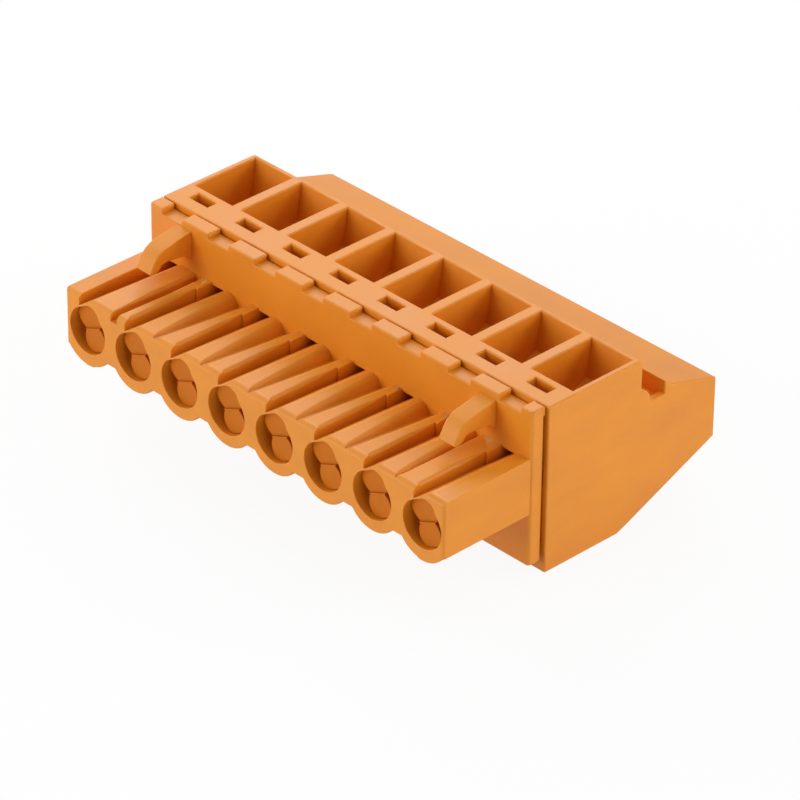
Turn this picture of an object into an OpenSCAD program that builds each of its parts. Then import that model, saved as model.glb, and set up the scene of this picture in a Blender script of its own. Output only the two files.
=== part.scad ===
// Pluggable terminal block, socket side, eight poles in one row.
// X runs along the row, -Y is the mating direction and +Z is up. It rests on the flat of its underside.
// Wires enter from above, and the clamp screws are turned from the rear face.

/* [Row] */
// Distance between neighbouring poles
pitch = 5.08; // [5:0.01:5.4]

/* [Rear housing] */
// Height of the top block
body_h = 14; // [13.6:0.1:15]
// Depth from the front face to the rear face
body_d = 17.36; // [17.1:0.01:19]
// Depth of the top block
block_d = 9.45; // [9.4:0.05:9.8]
// Height of the rear face's lower edge
rear_low_z = 4.16; // [3.6:0.02:4.3]
// Height of the rear face's upper edge
rear_high_z = 9.18; // [9.1:0.02:9.5]
// Flat length of the underside
foot_d = 7.4; // [6.5:0.1:8.5]
// Width of the groove between the top block and the deck
groove_w = 2.45; // [2.2:0.05:2.8]
// Height of the groove's floor at the end walls
groove_z = 10.08; // [10:0.02:10.3]
// Height of the deck's front edge
deck_z = 11.2; // [11:0.1:11.6]

/* [Wire chambers] */
// Width of a chamber
chamber_w = 4.07; // [3.8:0.01:4.2]
// Distance from the front face to a chamber
chamber_y = 2.85; // [2.75:0.05:3]
// Depth of a chamber at the top, front to rear
chamber_d = 6.08; // [5.8:0.02:6.2]
// Full-width height of a chamber
chamber_h = 3.1; // [2.4:0.1:3.4]
// Width of a test slot
slot_w = 1.96; // [1.4:0.02:2.4]
// Depth of a test slot, downwards
slot_h = 2.4; // [1:0.1:2.8]

/* [Mating shell] */
// Distance from the rear housing's front face to the ends of the tubes
nose_reach = 9.87; // [9.4:0.01:11]
// Thickness of the front plate
plate_t = 1.16; // [1:0.02:1.3]
// Height of the front plate's lower edge
plate_low_z = 1.04; // [0.6:0.02:2]
// Height of the flat tops of the tube row
row_high_z = 10.1; // [10:0.05:10.4]
// Height of the tube mouths' axis
mouth_z = 7.37; // [7.3:0.01:7.45]
// Radius of a tube mouth
mouth_r = 1.93; // [1.8:0.01:1.95]
// Depth of the notches in the plate's top edge
notch_h = 0.46; // [0.2:0.02:0.8]
// Reach of a locking hook from the front plate
hook_reach = 4.1; // [3.4:0.1:4.6]
// Width of a locking hook
hook_w = 1.63; // [1.2:0.01:1.8]

/* [Clamps] */
// Width of the pocket that guides a clamp
pocket_w = 4; // [3.9:0.01:4.05]
// Room for the wire in an open clamp
wire_gap = 2.6; // [2.2:0.05:2.7]
// Radius of a clamp screw's shank
screw_r = 1.2; // [1:0.05:1.3]
// Length of a clamp screw's head
head_h = 1.9; // [1.5:0.05:2.1]

/* [Hidden] */
$fn = 48;
poles = 8;

housing_orange = "#e8933a";
contact_bronze = "#c8762c";
clamp_steel = "#b9bcc0";

slide_fit = 0.05;
turn_fit = 0.08;
end_room = 0.1;
over = 1;
row_w = poles * pitch;
row_mid_y = (body_d - nose_reach) / 2;

groove_rear_y = block_d + groove_w;
groove_inner_z = groove_z - 0.35;
deck_bevel = 0.6;
deck_crest_z = deck_z - 0.53;
under_bevel = 0.85;
under_rise = 0.31;
block_round = 0.35;
bump_r = 0.85;
bump_out = 0.1;
bump_up = 0.3;

slot_d = 0.9;
slot_y = chamber_y - 1.55;
funnel_h = 0.9;
funnel_side = 0.45;
rear_lean = 0.5;
front_ledge = 0.15;

bar_w = 2.6;
metal_t = 0.6;
bar_t = 0.8;
riser_y = 0.45;
clamp_y = 2.2;
clamp_front_t = 0.8;
clamp_side_t = 0.5;
nut_t = 2;
bar_y = clamp_y + clamp_front_t + wire_gap;
nut_y = bar_y + bar_t + end_room;
clamp_travel = wire_gap - 2 * end_room;
pocket_low_z = 2.5;
pocket_high_z = 9.2;
pocket_y = nut_y + nut_t + clamp_travel + 3 * end_room;
foot_high_z = pocket_low_z + metal_t;

screw_z = (rear_low_z + rear_high_z) / 2;
bore_step = 0.8;
head_y = pocket_y + bore_step;
head_r = pocket_w / 2 - turn_fit - slide_fit;
head_bore_r = head_r + turn_fit;
head_bore_y = head_y + head_h + end_room;
access_r = head_r - end_room;
drive_w = 0.6;
point_r = 0.7;
point_h = 0.5;
drive_h = 1;
drive_step = 47;

box_w = 2.7;
box_h = 2.35;
box_low_z = mouth_z - box_h / 2;
box_front_y = -nose_reach + 1.55;
tip_y = -nose_reach + 0.4;
arm_r = 1.22;
arm_r_step = 0.08;
arm_offset = 0.92;
arm_turn = -23;
lead_h = 0.12;
arm_step = 0.15;

plate_gap = 0.24;
plate_y = -plate_gap - plate_t;
shell_shift = -0.12;
plate_inset = 0.17;
plate_round = 0.3;
lip_h = 0.8;
lip_gap = 0.08;
notch_w = 2.15;
pad_w = 0.8;
spigot_y = 1.9;

tube_inset = 0.27;
tube_r = 2.6;
tube_z = mouth_z - 0.35;
web_low_z = mouth_z - 1.95;
nose_round = 0.45;
nose_corner_r = 0.3;
lobe_r = 1;
lobe_x = 0.32;
lobe_up = 1.23;
blend_share = 0.995;

trough_slope = 35;
gully_x = -0.88;
gully_floor_w = 0.05;
gully_nose_h = 0.85;
gully_plate_h = 1.25;
gully_hole_z = row_high_z - 0.29;
gully_step = 0.22;
gully_step_y = -2.85;
dip_x = 2.15;
dip_floor_w = 0.2;
dip_wall = 62;
dip_nose_h = 0.15;
dip_plate_h = 0.95;
hook_rib_x = 2.35;
hook_slot_x = 2.98;
hook_slot_w = 0.7;
hook_slot_h = 0.7;
hook_left_x = -16.43;
hook_right_x = 15.63;
hook_top = 0.55;
hook_root_h = 2.4;
hook_arm_h = 1.7;
hook_fall = 0.55;
hook_nose_d = 1.3;
hook_nose_h = 1.63;
hook_brow = [0.16, 0.48];
hook_heel_d = 0.85;
hook_chin_d = 0.28;
hook_lip = 0.08;
hook_hollow_y = -0.55;
hook_hollow_z = -1.95;

module in_frame() {
    translate([0, -row_mid_y, 0]) children();
}

module at_pole(n) {
    translate([(n - (poles + 1) / 2) * pitch, 0, 0]) children();
}

// Extrudes a (Y, Z) outline along X, centred
module along_x(w) {
    rotate([90, 0, 90]) linear_extrude(w, center = true) children();
}

// Extrudes an (X, Z) outline from y0 to y1
module along_y(y0, y1) {
    translate([0, y1, 0]) rotate([90, 0, 0]) linear_extrude(y1 - y0) children();
}

// Box from y0 to y1 and z0 to z1, centred on X
module block(w, y0, y1, z0, z1) {
    translate([-w / 2, y0, z0]) cube([w, y1 - y0, z1 - z0]);
}

// Rod along Y
module rod(r, y0, y1, z) {
    translate([0, y1, z]) rotate([90, 0, 0]) cylinder(r = r, h = y1 - y0);
}

// Outline of the housing seen from the end, without the notch in its end walls
module end_outline() {
    polygon([
        [0, 0],
        [foot_d, 0],
        [foot_d + under_bevel, under_rise],
        [body_d, rear_low_z],
        [body_d, rear_high_z],
        [groove_rear_y + deck_bevel, deck_crest_z],
        [groove_rear_y, deck_z],
        [groove_rear_y, groove_z],
        [block_d, groove_z],
        [block_d, body_h - block_round],
        [block_d - block_round * (1 - cos(45)), body_h - block_round * (1 - sin(45))],
        [block_d - block_round, body_h],
        [0, body_h]]);
    intersection() {
        translate([block_d + bump_out, groove_z + bump_up]) circle(bump_r);
        translate([block_d - over, groove_z - over]) square([groove_w, groove_w + over]);
    }
}

// Chamber that guides a wire down into its clamp, narrowing to the wire's width
module chamber() {
    ledge_z = body_h - chamber_h;
    neck_z = ledge_z - funnel_h;
    neck_w = chamber_w - 2 * funnel_side;
    rear_y = chamber_y + chamber_d;
    lean_y = rear_y - rear_lean;
    intersection() {
        along_x(chamber_w) polygon([
            [chamber_y, body_h + over],
            [rear_y, body_h + over],
            [rear_y, body_h],
            [lean_y, ledge_z],
            [bar_y, neck_z],
            [bar_y, pocket_high_z - over],
            [chamber_y + front_ledge, pocket_high_z - over],
            [chamber_y + front_ledge, neck_z],
            [chamber_y, ledge_z]]);
        along_y(0, block_d) polygon([
            [-chamber_w / 2, body_h + over],
            [-chamber_w / 2, ledge_z],
            [-neck_w / 2, neck_z],
            [-neck_w / 2, pocket_high_z - over],
            [neck_w / 2, pocket_high_z - over],
            [neck_w / 2, neck_z],
            [chamber_w / 2, ledge_z],
            [chamber_w / 2, body_h + over]]);
    }
}

// Pocket, screw passage and driver hole of one pole
module clamp_space() {
    block(pocket_w, -over, pocket_y, pocket_low_z, pocket_high_z);
    rod(head_bore_r, pocket_y - over, head_bore_y, screw_z);
    rod(access_r, head_bore_y - over, body_d + over, screw_z);
}

module rear_housing() {
    end_t = (pitch - pocket_w) / 2;
    color(housing_orange) in_frame() difference() {
        along_x(row_w) end_outline();
        block(row_w - 2 * end_t, block_d, groove_rear_y, groove_inner_z, body_h);
        for (n = [1:poles]) at_pole(n) {
            chamber();
            clamp_space();
            block(slot_w, slot_y, slot_y + slot_d, body_h - slot_h, body_h + over);
        }
    }
}

// Keyed opening of a tube: a round with a lobe above it, blended on the left, grown or shrunk by a clearance
module mouth(grow, y1) {
    y0 = -nose_reach - over;
    lobe = [lobe_x, lobe_up];
    side = atan2(lobe_up, lobe_x) + acos((mouth_r - lobe_r) / norm(lobe));
    out = blend_share * [cos(side), sin(side)];
    rod(mouth_r + grow, y0, y1, mouth_z);
    translate([lobe_x, 0, 0]) rod(lobe_r + grow, y0, y1, mouth_z + lobe_up);
    translate([0, 0, mouth_z]) along_y(y0, y1)
        polygon([[0, 0], lobe, lobe + (lobe_r + grow) * out, (mouth_r + grow) * out]);
}

// Outline of the shell seen from above, with its front corners rounded
module rounded_front(w, y0, y1, r) {
    translate([shell_shift, 0]) {
        translate([-w / 2, y0 + r]) square([w, y1 - y0 - r]);
        translate([-w / 2 + r, y0]) square([w - 2 * r, r + over / 10]);
        for (side = [-1, 1]) translate([side * (w / 2 - r), y0 + r]) circle(r);
    }
}

// The row of tubes as one bar with round undersides and rounded front edges
module tube_bar() {
    w = row_w - 2 * tube_inset;
    intersection() {
        along_y(-nose_reach, plate_y + plate_t / 2) union() {
            translate([-row_w / 2, web_low_z]) square([row_w, row_high_z - web_low_z]);
            for (n = [1:poles]) intersection() {
                at_pole(n) translate([0, tube_z]) circle(tube_r);
                translate([-row_w / 2, 0]) square([row_w, tube_z]);
            }
        }
        translate([0, 0, over]) linear_extrude(body_h) rounded_front(w, -nose_reach, 0, nose_corner_r);
        along_x(row_w) union() {
            translate([-nose_reach + nose_round, 0]) square([nose_reach, row_high_z]);
            translate([-nose_reach, 0]) square([nose_round * 2, row_high_z - nose_round]);
            translate([-nose_reach + nose_round, row_high_z - nose_round]) circle(nose_round);
        }
    }
}

// Trough in the row's top that deepens towards the plate, with its floor's start and its left side's angle
module trough(x, floor_w, left, nose_h, plate_h) {
    tilt = atan((plate_h - nose_h) / (nose_reach + plate_y));
    reach = 2 * row_high_z;
    translate([x, -nose_reach, row_high_z - nose_h]) rotate([-tilt, 0, 0])
        along_y(-over, nose_reach) polygon([
            [0, 0],
            [floor_w, 0],
            [floor_w + reach * cos(trough_slope), reach * sin(trough_slope)],
            [-reach * cos(left), reach * sin(left)]]);
}

// Deep trough beside a tube's crown; its wall steps in near the plate, and it runs out under the plate
module gully() {
    intersection() {
        trough(gully_x, gully_floor_w, 90, gully_nose_h, gully_plate_h);
        union() {
            block(pitch, -nose_reach - over, gully_step_y, 0, body_h);
            translate([gully_x + gully_step, gully_step_y - over, 0]) {
                cube([pitch, plate_y - gully_step_y + over, body_h]);
                cube([pitch, over - gully_step_y + over, gully_hole_z]);
            }
        }
    }
}

// Shallow trough between a tube's crown and the next gully, as far as a given distance from the tube's axis
module dip(far_x) {
    intersection() {
        trough(dip_x, dip_floor_w, dip_wall, dip_nose_h, dip_plate_h);
        block(2 * far_x, -nose_reach - over, plate_y, 0, body_h);
    }
}

// Locking hook: a cantilever whose nose curves down to a chin, with a hollow under its arm
module hook() {
    nose_y = hook_nose_d - hook_reach;
    heel_y = hook_heel_d - hook_reach;
    tip_z = -hook_fall - hook_nose_h;
    brow_w = hook_nose_d / 3;
    translate([0, plate_y, body_h - hook_top]) along_x(hook_w) polygon([
        [plate_t / 2, 0],
        [0, 0],
        [nose_y, -hook_fall],
        [nose_y - brow_w, -hook_fall - hook_nose_h * hook_brow[0]],
        [nose_y - 2 * brow_w, -hook_fall - hook_nose_h * hook_brow[1]],
        [-hook_reach, tip_z],
        [hook_chin_d - hook_reach, tip_z - hook_lip],
        [heel_y, tip_z + hook_lip],
        [nose_y, -hook_arm_h],
        [-hook_reach / 2, -hook_arm_h],
        [hook_hollow_y, hook_hollow_z],
        [0, -hook_root_h],
        [plate_t / 2, -hook_root_h]]);
}

// Plate with its lip, notches, spacer pads and the spigots that enter the pockets
module front_plate() {
    w = row_w - 2 * plate_inset;
    difference() {
        union() {
            translate([0, 0, plate_low_z]) linear_extrude(body_h - plate_low_z)
                rounded_front(w, plate_y, -plate_gap, plate_round);
            translate([shell_shift, 0, 0]) block(w, -plate_gap - over / 2, -lip_gap, body_h - lip_h, body_h);
            for (n = [1:poles - 1]) at_pole(n + 0.5)
                block(pad_w, -plate_gap - over / 2, 0, pocket_low_z, body_h - lip_h - over);
            for (n = [1:poles]) at_pole(n)
                block(pocket_w - 2 * slide_fit, -plate_gap - over / 2, spigot_y,
                    pocket_low_z + slide_fit, pocket_high_z - slide_fit);
        }
        for (n = [1:poles]) at_pole(n) {
            block(notch_w, plate_y - over, over, body_h - notch_h, body_h + over);
            block(box_w + 2 * slide_fit, -plate_gap, spigot_y + over, 0, box_low_z + box_h + slide_fit);
        }
    }
}

module mating_shell() {
    color(housing_orange) in_frame() {
        difference() {
            union() {
                tube_bar();
                front_plate();
            }
            for (n = [1:poles]) at_pole(n) {
                mouth(0, box_front_y + metal_t);
                block(box_w + 2 * slide_fit, box_front_y - plate_gap, over,
                    box_low_z, box_low_z + box_h + slide_fit);
                gully();
            }
            for (n = [2:poles - 2]) at_pole(n) dip(pitch);
            at_pole(poles - 1) dip(hook_rib_x);
            at_pole(1) translate([hook_slot_x, 0, 0])
                block(hook_slot_w, -nose_reach - over, plate_y, row_high_z - hook_slot_h, row_high_z + over);
        }
        translate([hook_left_x, 0, 0]) hook();
        translate([hook_right_x, 0, 0]) hook();
    }
}

// Ends of the two spring arms, cut to a shallow V that leads a pin in; the lower is smaller and stands out
module arm_tips() {
    intersection() {
        mouth(-slide_fit, box_front_y + metal_t);
        translate([0, 0, mouth_z]) rotate([0, arm_turn, 0]) difference() {
            for (side = [-1, 1])
                rod(arm_r + side * arm_r_step, tip_y, box_front_y + metal_t, side * arm_offset);
            along_x(3 * arm_r) polygon([
                [tip_y - lead_h, -2 * (arm_r + arm_offset)],
                [tip_y + lead_h, 0],
                [tip_y + lead_h + arm_step, 0],
                [tip_y - lead_h + arm_step, 2 * (arm_r + arm_offset)]]);
        }
    }
}

// Socket contact: arms and box in the tube, riser behind the plate, foot and current bar in the clamp
module contact(n) {
    wall_w = box_w - 2 * metal_t;
    wall_h = box_h - 2 * metal_t;
    color(contact_bronze) in_frame() at_pole(n) {
        arm_tips();
        difference() {
            block(box_w, box_front_y, riser_y + metal_t, box_low_z, box_low_z + box_h);
            block(wall_w, box_front_y + metal_t, riser_y, box_low_z + metal_t, box_low_z + metal_t + wall_h);
        }
        block(bar_w, riser_y, riser_y + metal_t, pocket_low_z, box_low_z + box_h);
        block(bar_w, riser_y, bar_y + bar_t, pocket_low_z, foot_high_z);
        block(bar_w, bar_y, bar_y + bar_t, pocket_low_z, pocket_high_z - metal_t / 2);
    }
}

// Box clamp: a frame round the wire and the current bar, threaded for the screw at its rear
module clamp(n) {
    clamp_w = pocket_w - 2 * slide_fit;
    wire_w = clamp_w - 2 * clamp_side_t;
    color(clamp_steel) in_frame() at_pole(n) difference() {
        block(clamp_w, clamp_y, nut_y + nut_t, pocket_low_z, pocket_high_z - slide_fit);
        block(wire_w, clamp_y + clamp_front_t, nut_y, 0, body_h);
        block(wire_w, clamp_y - over, nut_y + nut_t + over, 0, foot_high_z + 2 * slide_fit);
        rod(screw_r + slide_fit, nut_y - over, nut_y + nut_t + over, screw_z);
    }
}

// Slotted clamp screw, its tip against the current bar and its head in the rear passage
module screw(n) {
    tip = bar_y + bar_t;
    color(clamp_steel) in_frame() at_pole(n) translate([0, tip, screw_z]) rotate([-90, 0, 0])
        rotate([0, 0, drive_step * n]) difference() {
            union() {
                cylinder(r1 = point_r, r2 = screw_r, h = point_h);
                translate([0, 0, point_h]) cylinder(r = screw_r, h = head_y - tip - point_h);
                translate([0, 0, head_y - tip]) cylinder(r = head_r, h = head_h);
            }
            translate([-drive_w / 2, -2 * head_r, head_y - tip + head_h - drive_h])
                cube([drive_w, 4 * head_r, drive_h + over]);
        }
}

rear_housing();
mating_shell();
for (n = [1:poles]) contact(n);
for (n = [1:poles]) clamp(n);
for (n = [1:poles]) screw(n);
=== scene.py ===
"""Pluggable terminal block: finishes, rounded mouldings, screw threads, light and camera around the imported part."""
from math import cos, radians

import bmesh
import bpy
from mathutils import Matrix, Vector
from mathutils.bvhtree import BVHTree
from mathutils.geometry import tessellate_polygon
from mathutils.kdtree import KDTree


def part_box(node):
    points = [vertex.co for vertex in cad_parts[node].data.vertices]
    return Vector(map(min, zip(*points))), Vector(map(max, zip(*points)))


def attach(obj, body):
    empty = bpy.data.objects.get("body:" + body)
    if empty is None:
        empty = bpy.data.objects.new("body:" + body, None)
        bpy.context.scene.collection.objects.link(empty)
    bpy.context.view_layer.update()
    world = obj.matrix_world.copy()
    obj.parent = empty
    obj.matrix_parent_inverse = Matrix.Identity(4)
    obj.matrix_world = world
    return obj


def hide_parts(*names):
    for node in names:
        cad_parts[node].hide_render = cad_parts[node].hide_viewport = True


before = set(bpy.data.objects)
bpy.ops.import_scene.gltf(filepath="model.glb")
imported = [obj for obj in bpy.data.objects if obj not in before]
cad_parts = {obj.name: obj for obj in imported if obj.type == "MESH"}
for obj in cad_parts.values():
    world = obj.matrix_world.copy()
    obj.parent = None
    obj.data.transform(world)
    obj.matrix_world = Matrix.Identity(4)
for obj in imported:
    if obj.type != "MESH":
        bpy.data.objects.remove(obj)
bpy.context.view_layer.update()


# Rear housing: one injection moulding in orange polyamide, which holds the clamps and screws and takes the wires.
# The tool leaves every outer edge slightly round and the skin finely spark-eroded, with faint flow marks.

MM = 0.001
moulded_edge_r = 0.13 * MM
deep_orange = (0.735, 0.238, 0.006, 1)
light_orange = (0.835, 0.29, 0.0125, 1)


class Value:
    """A node's output that arithmetic carries on from, by adding Math nodes to the same tree."""

    def __init__(self, tree, socket):
        self.tree = tree
        self.socket = socket

    def math(self, operation, first, second):
        return self.tree.node("ShaderNodeMath", {"operation": operation}, {0: first, 1: second})

    def __add__(self, other):
        return self.math("ADD", self, other)

    def __sub__(self, other):
        return self.math("SUBTRACT", self, other)

    def __rsub__(self, other):
        return self.math("SUBTRACT", other, self)

    def __mul__(self, other):
        return self.math("MULTIPLY", self, other)

    __radd__ = __add__
    __rmul__ = __mul__


class Tree:
    """A node tree that one method fills: a node's kind, its settings, and the values or links of its sockets."""

    def __init__(self, nodes):
        self.nodes = nodes

    def node(self, kind, settings, sockets, output=0):
        made = self.nodes.nodes.new(kind)
        for setting, value in settings.items():
            setattr(made, setting, value)
        for socket, value in sockets.items():
            self.feed(made, socket, value)
        return Value(self, made.outputs[output]) if made.outputs else None

    def feed(self, made, socket, value):
        if isinstance(value, list):
            for one in value:
                self.feed(made, socket, one)
        elif isinstance(value, Value):
            self.nodes.links.new(value.socket, made.inputs[socket])
        else:
            made.inputs[socket].default_value = value


class Finish(Tree):
    """A material on one Principled shader. What is the same all over is set straight on its sockets."""

    def __init__(self, name, **same_all_over):
        self.material = bpy.data.materials.new(name)
        self.material.use_nodes = True
        super().__init__(self.material.node_tree)
        self.shader = self.nodes.nodes["Principled BSDF"]
        self.give(**same_all_over)

    def give(self, **sockets):
        for socket, value in sockets.items():
            self.feed(self.shader, socket.replace("_", " "), value)

    def grain(self, scale, detail, roughness, stretch=(1, 1, 1)):
        """Noise around 0.5 on the object's own coordinates, with scale features to the metre."""
        place = self.node("ShaderNodeTexCoord", {}, {}, "Object")
        where = self.node("ShaderNodeMapping", {}, {"Vector": place, "Scale": stretch})
        return self.node("ShaderNodeTexNoise", {}, {
            "Vector": where, "Scale": scale, "Detail": detail, "Roughness": roughness})

    def between(self, share, low, high):
        """A colour between two. The node's colours share their names with its numbers, so they go by place."""
        return self.node("ShaderNodeMix", {"data_type": "RGBA"}, {0: share, 6: low, 7: high}, 2)

    def relief(self, height, depth, strength):
        return self.node("ShaderNodeBump", {}, {"Strength": strength, "Distance": depth, "Height": height})


def moulded_orange():
    """Semi-matt polyamide, a little lighter in colour where it flowed last."""
    finish = Finish("moulded_orange", Specular_IOR_Level=0.45, IOR=1.53)
    flow = finish.grain(scale=240.0, detail=4.0, roughness=0.55, stretch=(1, 0.6, 1.3))
    speckle = finish.grain(scale=5200.0, detail=2.0, roughness=0.6)
    erosion = finish.grain(scale=9000.0, detail=3.0, roughness=0.6)
    ripple = finish.grain(scale=650.0, detail=2.0, roughness=0.5)
    tone = (flow - 0.5) * 1.8 + (speckle - 0.5) * 0.5 + 0.5
    finish.give(
        Base_Color=finish.between(tone, deep_orange, light_orange),
        Roughness=(flow - 0.5) * 0.25 + (speckle - 0.5) * 0.12 + 0.5,
        Normal=finish.relief(erosion * 0.5 + ripple * 1.2, depth=0.01 * MM, strength=0.4))
    return finish.material


def rounded(node, radius, rib_radius=None, is_rib=None, cuts=()):
    """A copy of a solid with its outer edges broken to a radius, or to the ribs' own radius on a rib.

    Cuts across the solid let the rest of a long edge keep its radius where one stretch of it can't."""
    same_place = 0.0005 * MM
    halvings, tries = 5, 10
    widest = rib_radius or radius
    shape = bmesh.new()
    shape.from_mesh(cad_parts[node].data)
    bmesh.ops.remove_doubles(shape, verts=shape.verts, dist=same_place)
    for place in cuts:
        bmesh.ops.bisect_plane(shape, geom=[*shape.verts, *shape.edges, *shape.faces], dist=same_place,
                               plane_co=(0, place, 0), plane_no=(0, 1, 0))
    bmesh.ops.triangulate(shape, faces=shape.faces)
    skin = BVHTree.FromBMesh(shape)
    number_flats(shape)
    share = shape.edges.layers.float.new("bevel_weight_edge")
    outer = outer_edges(shape)
    for edge in outer:
        wanted = widest if is_rib and is_rib(edge) else radius
        edge[share] = min(wanted, room_beside(edge, wanted)) / widest
    piece = bpy.data.objects.new(f"{node}_finished", bpy.data.meshes.new(node))
    bpy.context.scene.collection.objects.link(piece)
    for attempt in range(tries):
        piece.data = bpy.data.meshes.new(node)
        shape.to_mesh(piece.data)
        bevel(piece, widest)
        refill_flats(piece.data)
        places = strayed(piece.data, skin, widest)
        if not places:
            break
        ease(outer, share, places, radius, 0.5 if attempt < halvings else 0)
    shape.free()
    for corner in piece.data.vertices:
        near, outwards, _, _ = skin.find_nearest(corner.co)
        if (corner.co - near).dot(outwards) > 0:
            corner.co = near
    shade(piece.data)
    return piece


def outer_edges(shape):
    """The edges that stick out, leaving out those between the narrow faces of a curve."""
    curve_step = radians(28)
    return [edge for edge in shape.edges if edge.calc_face_angle_signed(0) > curve_step]


def room_beside(edge, wanted):
    """How wide an edge's rounding may be beside its short neighbours, so that two of them never meet."""
    flat, along_it = radians(5), 0.9
    sideways = [other.calc_length() for corner in edge.verts for other in corner.link_edges
                if other.calc_face_angle(0) > flat and abs(direction(other).dot(direction(edge))) < along_it]
    return 0.4 * min(sideways, default=3 * wanted)


def direction(edge):
    return (edge.verts[1].co - edge.verts[0].co).normalized()


flat_slot, round_slot = 0, 1


def bevel(piece, width):
    """Rounds a piece by the weights on its edges, and tells flat faces from roundings by their material slots."""
    for _ in (flat_slot, round_slot):
        piece.data.materials.append(None)
    edges = piece.modifiers.new("edges", "BEVEL")
    edges.limit_method = "WEIGHT"
    edges.width = width
    edges.segments = 3
    edges.use_clamp_overlap = False
    edges.loop_slide = False
    edges.material = round_slot
    make_plain(piece)


def make_plain(piece):
    """Turns an object and its modifiers into a plain mesh."""
    evaluated = piece.evaluated_get(bpy.context.evaluated_depsgraph_get())
    mesh = bpy.data.meshes.new_from_object(evaluated)
    piece.modifiers.clear()
    piece.data = mesh


def flat_parts(shape):
    """Groups the triangles that a flat face is cut up into, the largest first. Slivers go with a neighbour."""
    same_way = 0.99999
    sliver_width = 0.001 * MM
    parts = {}
    for first in sorted(shape.faces, key=lambda face: -face.calc_area()):
        if first in parts:
            continue
        part = [first]
        parts[first] = part
        for face in part:
            for other in (other for edge in face.edges for other in edge.link_faces if other not in parts):
                thin = other.calc_area() < sliver_width * max(edge.calc_length() for edge in other.edges)
                if thin or other.normal.dot(first.normal) > same_way:
                    parts[other] = part
                    part.append(other)
    return parts


def number_flats(shape):
    """Gives the triangles of each flat face one number, which a rounding passes on to what it leaves of them."""
    flat = shape.faces.layers.int.new("flat")
    numbers = {}
    for face, part in flat_parts(shape).items():
        face[flat] = numbers.setdefault(id(part), len(numbers))


def refill_flats(mesh):
    """Fills the outline that a rounding leaves of each flat face afresh, in place of its stretched triangles."""
    shape = bmesh.new()
    shape.from_mesh(mesh)
    flat = shape.faces.layers.int["flat"]
    flats = {}
    for face in shape.faces:
        if face.material_index == flat_slot:
            flats.setdefault(face[flat], {})[face] = True
    old = []
    new = []
    for faces in (faces for faces in flats.values() if len(faces) > 2):
        filled = fresh_fill(faces)
        if filled:
            old += faces
            new += filled
    bmesh.ops.delete(shape, geom=old, context="FACES_ONLY")
    for three in new:
        if len(set(three)) == 3 and shape.faces.get(three) is None:
            shape.faces.new(three)
    bmesh.ops.delete(shape, geom=[edge for edge in shape.edges if not edge.link_faces], context="EDGES")
    bmesh.ops.delete(shape, geom=[corner for corner in shape.verts if not corner.link_edges], context="VERTS")
    shape.to_mesh(mesh)
    shape.free()


def fresh_fill(faces):
    """New triangles within the outlines of a flat face, or nothing where those cross or don't close."""
    area_slip = 0.01
    border = [loop for face in faces for loop in face.loops
              if sum(other in faces for other in loop.edge.link_faces) == 1]
    outlines = closed_outlines({loop.vert: loop.link_loop_next.vert for loop in border})
    corners = [corner for outline in outlines for corner in outline]
    if len(border) != len(corners):
        return []
    normal = max(faces, key=lambda face: face.calc_area()).normal.copy()
    level = normal.rotation_difference(Vector((0, 0, 1)))
    drawn = [[(level @ corner.co / MM).to_2d() for corner in outline] for outline in outlines]
    inside = sum(one.cross(two) / 2 for outline in drawn for one, two in zip(outline, outline[1:] + outline[:1]))
    if inside < 0:
        normal.negate()
    filled = []
    area = 0
    for cut in tessellate_polygon([[place.to_3d() for place in outline] for outline in drawn]):
        a, b, c = (corners[index] for index in cut)
        out = (b.co - a.co).cross(c.co - a.co).dot(normal)
        filled.append((a, b, c) if out > 0 else (a, c, b))
        area += abs(out) / 2
    return filled if abs(area / MM / MM / abs(inside) - 1) < area_slip else []


def closed_outlines(following):
    """Lists the corners of each outline, from what says which corner follows which."""
    outlines = []
    while following:
        outline = [next(iter(following))]
        while outline[-1] in following:
            outline.append(following.pop(outline[-1]))
        outlines.append(outline[:-1])
    return outlines


def strayed(mesh, skin, radius):
    """Places where a rounding has come out of the solid, cuts too deep into it, or has folded or torn."""
    highest = 0.02 * MM
    deepest = 0.7 * radius
    fold = radians(150)
    smallest_fold = 1e-5 * MM * MM
    shape = bmesh.new()
    shape.from_mesh(mesh)
    places = []
    for corner in shape.verts:
        near, outwards, _, _ = skin.find_nearest(corner.co)
        if (corner.co - near).dot(outwards) > highest:
            places.append(corner.co.copy())
    for face in shape.faces:
        if skin.find_nearest(face.calc_center_median())[3] > deepest:
            places += [corner.co.copy() for corner in face.verts]
    for edge in shape.edges:
        if not edge.is_contiguous or edge.calc_face_angle(0) > fold:
            smaller = min(edge.link_faces, key=lambda face: face.calc_area())
            if smaller.calc_area() > smallest_fold:
                places += [corner.co.copy() for corner in smaller.verts]
    shape.free()
    return places


def ease(edges, share, places, radius, kept):
    """Lessens the rounding of the edges that pass near any of the places to the kept part of it."""
    reach = 1.6 * radius
    near_by = KDTree(len(places))
    for number, place in enumerate(places):
        near_by.insert(place, number)
    near_by.balance()
    for edge in edges:
        steps = max(1, int(edge.calc_length() / radius))
        start, end = (corner.co for corner in edge.verts)
        if any(near_by.find(start.lerp(end, step / steps))[2] < reach for step in range(steps + 1)):
            edge[share] *= kept


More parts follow.
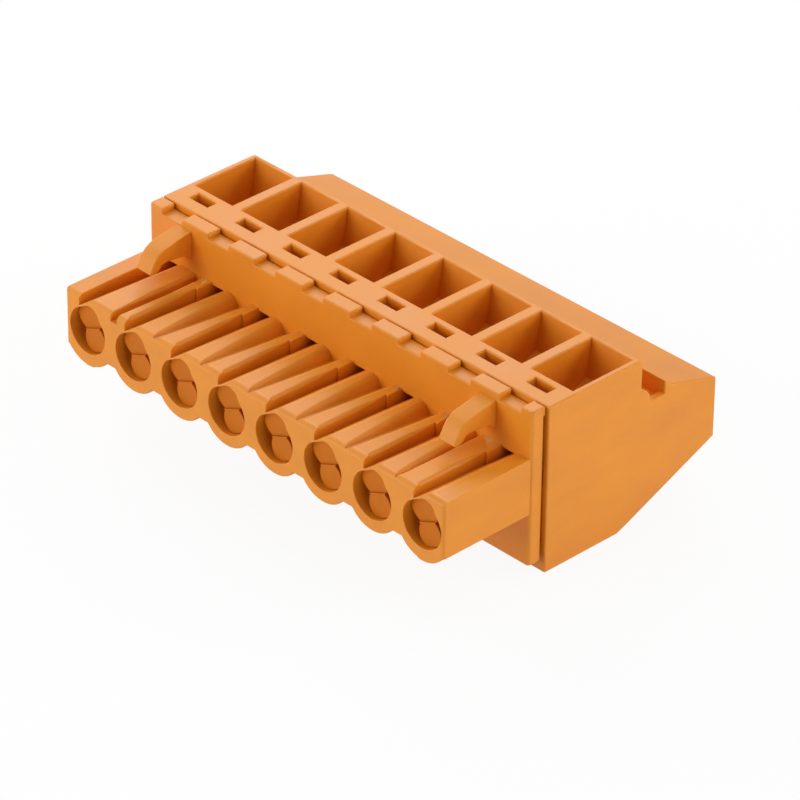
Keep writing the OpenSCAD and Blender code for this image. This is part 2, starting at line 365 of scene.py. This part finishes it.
def shade(mesh):
    """Smooth shading in which each flat face counts as a whole, so that it stays flat up to its rounded edges."""
    smooth = cos(radians(31))
    shape = bmesh.new()
    shape.from_mesh(mesh)
    parts = flat_parts(shape)
    whole = {id(part): part[0].normal * sum(face.calc_area() for face in part) for part in parts.values()}
    normals = [None] * len(mesh.loops)
    for corner in shape.verts:
        left = list(corner.link_faces)
        while left:
            fan = [left.pop()]
            for face in fan:
                for other in (other for edge in face.edges if corner in edge.verts for other in edge.link_faces):
                    if other in left and parts[other][0].normal.dot(parts[face][0].normal) > smooth:
                        left.remove(other)
                        fan.append(other)
            touched = dict.fromkeys(id(parts[face]) for face in fan)
            normal = sum((whole[part] for part in touched), Vector()).normalized()
            for loop in (loop for face in fan for loop in face.loops if loop.vert == corner):
                normals[loop.index] = normal
    shape.free()
    mesh.shade_smooth()
    mesh.normals_split_custom_set(normals)


def stand_for(piece, node, body, material):
    """Puts a finished piece in a node's place, on the node's body."""
    piece.data.materials.clear()
    piece.data.materials.append(material)
    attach(piece, body)
    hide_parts(node)


orange = moulded_orange()
stand_for(rounded("rear_housing", moulded_edge_r), "rear_housing", "housing", orange)


# Mating shell: a second moulding in the same polyamide, with the front plate, the row of tubes and the two hooks.
# It is pushed into the rear housing and snaps in for good. The ribs on the row come out of the tool much rounder.

rib_crown_r = 0.3 * MM
ribs_low_z, ribs_high_z = 8.6 * MM, 10.4 * MM
ribs_end_y = -3.5 * MM
shortest_rib = 1 * MM
rib_cuts = (-12.9 * MM, -9 * MM, -5.2 * MM)


def on_rib(edge):
    """Whether an edge is one of the long ones on top of the tube row."""
    low, high = sorted(corner.co.z for corner in edge.verts)
    start, end = sorted(corner.co.y for corner in edge.verts)
    return low > ribs_low_z and high < ribs_high_z and end < ribs_end_y and end - start > shortest_rib


shell = rounded("mating_shell", moulded_edge_r, rib_crown_r, on_rib, rib_cuts)
stand_for(shell, "mating_shell", "housing", orange)


# Contacts: stamped from rolled copper alloy, folded into a spring box and a current bar, and left bare.
# The rolling leaves fine lines along the strip, and handling dulls it unevenly.

strip_edge_r = 0.04 * MM
dull_copper = (0.55, 0.143, 0.004, 1)
clean_copper = (0.65, 0.187, 0.008, 1)


def rolled_copper():
    finish = Finish("rolled_copper", Metallic=0.25, Specular_IOR_Level=0.15)
    lines = finish.grain(scale=2600.0, detail=3.0, roughness=0.6, stretch=(1, 0.05, 1))
    dulling = finish.grain(scale=900.0, detail=3.0, roughness=0.5)
    finish.give(
        Base_Color=finish.between(dulling, dull_copper, clean_copper),
        Roughness=dulling * 0.3 + lines * 0.15 + 0.25,
        Normal=finish.relief(lines, depth=0.004 * MM, strength=0.3))
    return finish.material


poles = range(1, 9)
copper = rolled_copper()
for pole in poles:
    stand_for(rounded(f"contact_{pole}", strip_edge_r), f"contact_{pole}", "housing", copper)


# Clamps: boxes folded from steel strip and zinc-plated, each open sideways for a wire and threaded at its rear.
# The plating is bright but slightly clouded, and the folded edges are soft.

plated_edge_r = 0.12 * MM
clouded_zinc = (0.52, 0.53, 0.55, 1)
bright_zinc = (0.74, 0.75, 0.76, 1)


def zinc_plate():
    finish = Finish("zinc_plate", Metallic=1.0)
    cloud = finish.grain(scale=1500.0, detail=4.0, roughness=0.6)
    scuff = finish.grain(scale=6000.0, detail=2.0, roughness=0.6, stretch=(1, 0.15, 1))
    finish.give(
        Base_Color=finish.between(cloud, clouded_zinc, bright_zinc),
        Roughness=cloud * 0.25 + scuff * 0.15 + 0.18,
        Normal=finish.relief(scuff, depth=0.003 * MM, strength=0.25))
    return finish.material


zinc = zinc_plate()
for pole in poles:
    stand_for(rounded(f"clamp_{pole}", plated_edge_r), f"clamp_{pole}", f"clamp_{pole}", zinc)


# Screws: turned and rolled from steel wire and zinc-plated, with a slotted cylinder head and an M2.5 thread.
# Each stands in its clamp's thread with its tip against the current bar, and the slots point every way.

thread_pitch = 0.45 * MM
thread_outer_r = 1.2 * MM
thread_root_r = 0.98 * MM
head_length = 1.9 * MM


def thread_tree():
    """Adds a helical ridge to the geometry it gets, from a place along +Y."""
    group = bpy.data.node_groups.new("thread", "GeometryNodeTree")
    tree = Tree(group)

    def given(name, kind):
        group.interface.new_socket(name, in_out="INPUT", socket_type=kind)
        return tree.node("NodeGroupInput", {}, {}, name)

    screw = given("Screw", "NodeSocketGeometry")
    turns = given("Turns", "NodeSocketFloat")
    pitch = given("Pitch", "NodeSocketFloat")
    middle_r = given("Middle radius", "NodeSocketFloat")
    ridge_r = given("Ridge radius", "NodeSocketFloat")
    place = given("Place", "NodeSocketVector")
    material = given("Finish", "NodeSocketMaterial")
    group.interface.new_socket("Screw", in_out="OUTPUT", socket_type="NodeSocketGeometry")
    helix = tree.node("GeometryNodeCurveSpiral", {}, {
        "Resolution": 28, "Rotations": turns, "Start Radius": middle_r, "End Radius": middle_r,
        "Height": turns * pitch})
    profile = tree.node("GeometryNodeCurvePrimitiveCircle", {}, {"Resolution": 4, "Radius": ridge_r})
    ridge = tree.node("GeometryNodeCurveToMesh", {}, {
        "Curve": helix, "Profile Curve": profile, "Fill Caps": True})
    placed = tree.node("GeometryNodeTransform", {}, {
        "Geometry": ridge, "Translation": place, "Rotation": (radians(-90), 0, 0)})
    joined = tree.node("GeometryNodeJoinGeometry", {}, {"Geometry": [placed, screw]})
    whole = tree.node("GeometryNodeRealizeInstances", {}, {"Geometry": joined})
    finished = tree.node("GeometryNodeSetMaterial", {}, {"Geometry": whole, "Material": material})
    tree.node("NodeGroupOutput", {}, {"Screw": finished})
    return group


def threaded(node, group):
    """A rounded copy of a screw whose shank is cut down to the thread's root, with the thread's ridge on it."""
    slack = 0.01 * MM
    bare_turns = 2
    low, high = (Vector(corner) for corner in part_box(node))
    centre = (low + high) / 2
    shank_high_y = high.y - head_length
    piece = rounded(node, plated_edge_r)
    for corner in piece.data.vertices:
        out = Vector((corner.co.x - centre.x, 0, corner.co.z - centre.z))
        if corner.co.y < shank_high_y + slack and thread_root_r < out.length < thread_outer_r + slack:
            corner.co -= out * (1 - thread_root_r / out.length)
    ridge_r = (thread_outer_r - thread_root_r) / 2
    wanted = {"Turns": (shank_high_y - low.y) / thread_pitch - bare_turns, "Pitch": thread_pitch,
              "Middle radius": thread_root_r + ridge_r, "Ridge radius": ridge_r,
              "Place": (centre.x, low.y + thread_pitch, centre.z), "Finish": zinc}
    thread = piece.modifiers.new("thread", "NODES")
    thread.node_group = group
    for item in group.interface.items_tree:
        if item.name in wanted:
            thread[item.identifier] = wanted[item.name]
    make_plain(piece)
    return piece


thread_group = thread_tree()
for pole in poles:
    stand_for(threaded(f"screw_{pole}", thread_group), f"screw_{pole}", f"screw_{pole}", zinc)


# Stage: a white sweep that takes only a faint shadow, as in a catalogue picture.
# Soft lamps stand low all round it, so that hollows stay dark. They and the camera are fitted to the photograph.

glow_share = 0.92
room_light = 0.1
lamps = {
    "overhead": {"place": (0.03, 0.05, 0.40), "watts": 0.36, "size": 0.30},
    "front": {"place": (-0.15, -0.40, 0.16), "watts": 1.05, "size": 0.25},
    "right": {"place": (0.42, -0.05, 0.14), "watts": 0.36, "size": 0.25},
    "right_low": {"place": (0.45, 0.05, 0.05), "watts": 0.22, "size": 0.12},
    "rear_right": {"place": (0.30, 0.35, 0.20), "watts": 1.04, "size": 0.25},
    "rear_left": {"place": (-0.30, 0.30, 0.25), "watts": 0.85, "size": 0.25},
    "left": {"place": (-0.42, 0.00, 0.14), "watts": 1.30, "size": 0.25},
}


def white_sweep():
    """Seen directly, in a reflection or through glass, it is mostly plain white, so its shadow stays faint."""
    finish = Finish("white_sweep", Base_Color=(0.9, 0.9, 0.9, 1), Roughness=0.9)
    seen = sum(finish.node("ShaderNodeLightPath", {}, {}, f"Is {kind} Ray")
               for kind in ("Camera", "Glossy", "Transmission"))
    glow = finish.node("ShaderNodeEmission", {}, {"Strength": 1.0})
    mixed = finish.node("ShaderNodeMixShader", {}, {
        0: seen * glow_share, 1: Value(finish, finish.shader.outputs[0]), 2: glow})
    finish.feed(finish.nodes.nodes["Material Output"], "Surface", mixed)
    return finish.material


bpy.ops.mesh.primitive_plane_add(size=4)
floor = bpy.context.object
floor.name = "floor"
floor.data.materials.append(white_sweep())

for name, lamp in lamps.items():
    light = bpy.data.lights.new(name, "AREA")
    light.energy = lamp["watts"]
    light.size = lamp["size"]
    holder = bpy.data.objects.new(name, light)
    holder.location = lamp["place"]
    holder.rotation_euler = (-Vector(lamp["place"])).to_track_quat("-Z", "Y").to_euler()
    bpy.context.scene.collection.objects.link(holder)

world = bpy.data.worlds.new("room")
bpy.context.scene.world = world
world.use_nodes = True
world.node_tree.nodes["Background"].inputs["Color"].default_value = (1, 1, 1, 1)
world.node_tree.nodes["Background"].inputs["Strength"].default_value = room_light

lens = bpy.data.cameras.new("camera")
lens.sensor_width = 36
lens.lens = 240.99
lens.clip_start = 0.05
camera = bpy.data.objects.new("camera", lens)
camera.location = (240.437 * MM, -232.990 * MM, 213.747 * MM)
camera.rotation_euler = (radians(57.8968), radians(-0.6027), radians(46.1038))
bpy.context.scene.collection.objects.link(camera)
bpy.context.scene.camera = camera
bpy.context.scene.view_settings.view_transform = "Standard"
